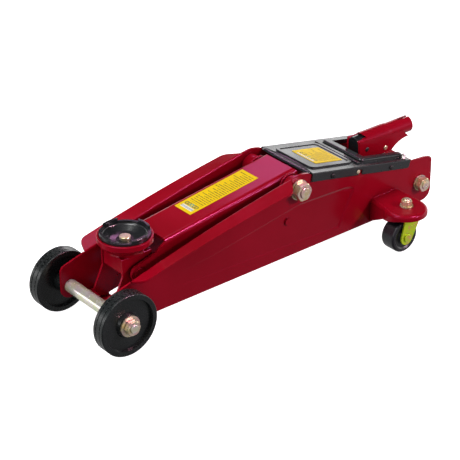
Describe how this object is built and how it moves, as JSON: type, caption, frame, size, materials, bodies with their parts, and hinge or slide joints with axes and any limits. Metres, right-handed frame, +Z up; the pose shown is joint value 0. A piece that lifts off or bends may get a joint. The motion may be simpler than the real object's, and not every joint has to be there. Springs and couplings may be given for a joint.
{
  "type": "trolley jack",
  "caption": "Low hydraulic trolley jack: two red side plates on wheels and casters, a hinged lift arm with a levelled saddle, and a pump with a handle socket.",
  "frame": {"origin": "on the floor, at the centre of the bounding box", "axes": "+X from the handle socket towards the saddle, +Y to the jack's left side, +Z up"},
  "size_m": [0.6226, 0.27, 0.1493],
  "materials": {
    "red_paint": "gloss",
    "black_paint": "satin",
    "printed_label": "satin",
    "zinc_yellow": "satin",
    "turned_steel": "satin",
    "dark_steel": "satin",
    "black_wheel": "satin"
  },
  "bodies": {
    "frame": {"axle_nuts": "zinc_yellow", "axle_washers": "zinc_yellow", "bearing_cup_left": "zinc_yellow", "bearing_cup_right": "zinc_yellow", "caster_bracket_left": "red_paint", "caster_bracket_right": "red_paint", "cover": "black_paint", "cover_label": "printed_label", "cover_screws": "dark_steel", "front_axle": "zinc_yellow", "front_tie_plate": "red_paint", "gland_nut": "dark_steel", "hydraulic_block": "red_paint", "link_pins": "red_paint", "pivot_nuts": "zinc_yellow", "pivot_shaft": "zinc_yellow", "pivot_washers": "zinc_yellow", "ram_cylinder": "dark_steel", "rear_bolt": "zinc_yellow", "rear_bolt_nuts": "zinc_yellow", "rear_bolt_washers": "zinc_yellow", "reservoir_tube": "dark_steel", "side_plate_left": "red_paint", "side_plate_right": "red_paint", "socket_pin": "dark_steel", "swivel_nuts": "zinc_yellow", "swivel_stud_left": "zinc_yellow", "swivel_stud_right": "zinc_yellow", "swivel_washers": "zinc_yellow"},
    "arm": {"lift_arm": "red_paint", "arm_label": "printed_label", "pivot_tube": "red_paint", "crank_plates": "red_paint", "crank_pin": "turned_steel", "yoke_pin": "red_paint"},
    "ram_roller": {"ram_roller": "turned_steel"},
    "yoke": {"saddle_yoke": "red_paint", "link_front_pins": "red_paint"},
    "saddle": {"saddle_cup": "black_paint", "saddle_bolt": "zinc_yellow"},
    "links": {"link_bar_left": "red_paint", "link_bar_right": "red_paint"},
    "ram": {"ram_piston": "turned_steel"},
    "plunger": {"pump_plunger": "turned_steel", "pump_spring": "turned_steel"},
    "socket": {"handle_socket": "red_paint", "pump_roller": "turned_steel", "pump_pin": "zinc_yellow", "socket_insert": "black_paint"},
    "valve": {"release_valve": "turned_steel"},
    "front_wheel_left": {"front_wheel_left": "black_wheel"},
    "caster_left": {"caster_fork_left": "zinc_yellow", "caster_pin_left": "zinc_yellow"},
    "caster_wheel_left": {"caster_wheel_left": "black_wheel"},
    "front_wheel_right": {"front_wheel_right": "black_wheel"},
    "caster_right": {"caster_fork_right": "zinc_yellow", "caster_pin_right": "zinc_yellow"},
    "caster_wheel_right": {"caster_wheel_right": "black_wheel"}
  },
  "joints": [
    {"name": "arm_lift", "type": "hinge", "parent": "frame", "child": "arm", "pos_m": [-0.04975, 0, 0.1275], "axis": [0, -1, 0], "range_deg": [0, 50]},
    {"name": "saddle_level", "type": "hinge", "parent": "arm", "child": "yoke", "pos_m": [0.21125, 0, 0.0811], "axis": [0, -1, 0], "range_deg": [-50, 0]},
    {"name": "saddle_turn", "type": "hinge", "parent": "yoke", "child": "saddle", "pos_m": [0.20925, 0, 0.119], "axis": [0, 0, 1], "continuous": true},
    {"name": "links_swing", "type": "hinge", "parent": "frame", "child": "links", "pos_m": [-0.03075, 0, 0.083], "axis": [0, -1, 0], "range_deg": [0, 50]},
    {"name": "ram_slide", "type": "slide", "parent": "frame", "child": "ram", "axis": [1, 0, 0], "range_m": [0, 0.0394]},
    {"name": "ram_roller_spin", "type": "hinge", "parent": "arm", "child": "ram_roller", "pos_m": [-0.06975, 0, 0.0855], "axis": [0, 1, 0], "continuous": true},
    {"name": "handle_lift", "type": "hinge", "parent": "frame", "child": "socket", "pos_m": [-0.21775, 0, 0.1203], "axis": [0, 1, 0], "range_deg": [0, 35]},
    {"name": "plunger_slide", "type": "slide", "parent": "frame", "child": "plunger", "axis": [0, 0, 1], "range_m": [0, 0.0228], "deforming": ["pump_spring"]},
    {"name": "release_turn", "type": "hinge", "parent": "frame", "child": "valve", "pos_m": [-0.29575, 0, 0.072], "axis": [1, 0, 0], "range_deg": [0, 90]},
    {"name": "front_wheel_left_spin", "type": "hinge", "parent": "frame", "child": "front_wheel_left", "pos_m": [0.26625, 0.074, 0.045], "axis": [0, 1, 0], "continuous": true},
    {"name": "caster_left_swivel", "type": "hinge", "parent": "frame", "child": "caster_left", "pos_m": [-0.21375, 0.103, 0.0523], "axis": [0, 0, 1], "continuous": true},
    {"name": "caster_wheel_left_spin", "type": "hinge", "parent": "caster_left", "child": "caster_wheel_left", "pos_m": [-0.20125, 0.103, 0.0243], "axis": [0, 1, 0], "continuous": true},
    {"name": "front_wheel_right_spin", "type": "hinge", "parent": "frame", "child": "front_wheel_right", "pos_m": [0.26625, -0.074, 0.045], "axis": [0, 1, 0], "continuous": true},
    {"name": "caster_right_swivel", "type": "hinge", "parent": "frame", "child": "caster_right", "pos_m": [-0.21375, -0.103, 0.0523], "axis": [0, 0, 1], "continuous": true},
    {"name": "caster_wheel_right_spin", "type": "hinge", "parent": "caster_right", "child": "caster_wheel_right", "pos_m": [-0.20125, -0.103, 0.0243], "axis": [0, 1, 0], "continuous": true}
  ],
  "couplings": [
    {"joint": "saddle_level", "follows": "arm_lift", "ratio": -1},
    {"joint": "links_swing", "follows": "arm_lift", "ratio": 1},
    {"joint": "ram_slide", "follows": "arm_lift", "m_per_rad": 0.045},
    {"joint": "plunger_slide", "follows": "handle_lift", "m_per_rad": 0.0372}
  ]
}
